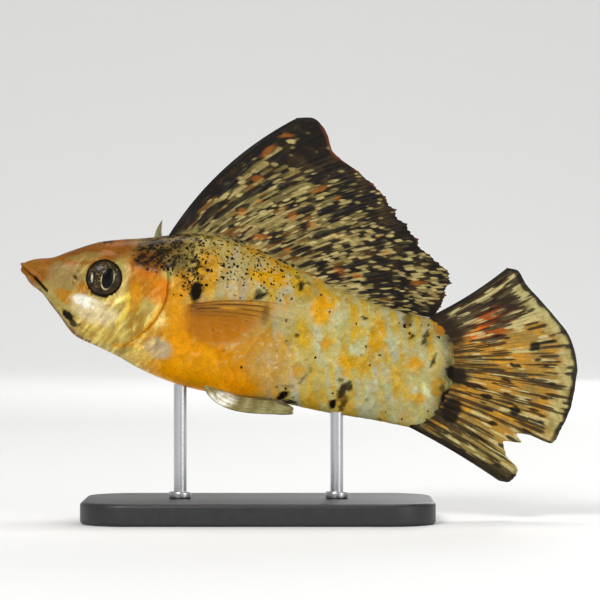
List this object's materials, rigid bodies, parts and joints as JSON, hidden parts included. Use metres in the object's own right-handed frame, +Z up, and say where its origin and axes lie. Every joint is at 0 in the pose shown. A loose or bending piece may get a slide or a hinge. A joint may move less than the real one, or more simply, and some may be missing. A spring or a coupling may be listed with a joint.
{
  "type": "sailfin molly display model",
  "caption": "Life-size still model of a male sailfin molly, dorsal fin raised, held nose up by rods over a flat display base.",
  "frame": {"origin": "centre of the display base's underside", "axes": "+Z up; +X from the fish's head towards its tail; the fish's left side, which the picture shows, faces -Y"},
  "size_m": [0.102, 0.0393, 0.0735],
  "materials": {
    "skin": "satin gloss fish skin, orange, cream and pearl scales with black speckles and patches",
    "eye": "wet gloss, dark bronze iris, pale ring round a black pupil",
    "dark_fin": "satin, near-black and brown membrane with cream and orange dashes along the rays",
    "clear_fin": "satin, thin amber and pale grey-green membrane with brown ray lines",
    "stand_base": "matt black with softened edges",
    "stand_rod": "fine brushed"
  },
  "bodies": {
    "root": {"head": "skin", "lower_jaw": "skin", "gill_cover_left": "skin", "gill_cover_right": "skin", "eye_left": "eye", "eye_right": "eye", "trunk": "skin", "tail_stalk": "skin", "dorsal_fin": "dark_fin", "tail_fin": "dark_fin", "pectoral_fin_left": "clear_fin", "pectoral_fin_right": "clear_fin", "pelvic_fin_left": "clear_fin", "pelvic_fin_right": "clear_fin", "gonopodium": "clear_fin", "stand_base": "stand_base", "stand_rod_front": "stand_rod", "stand_rod_rear": "stand_rod"}
  },
  "joints": []
}
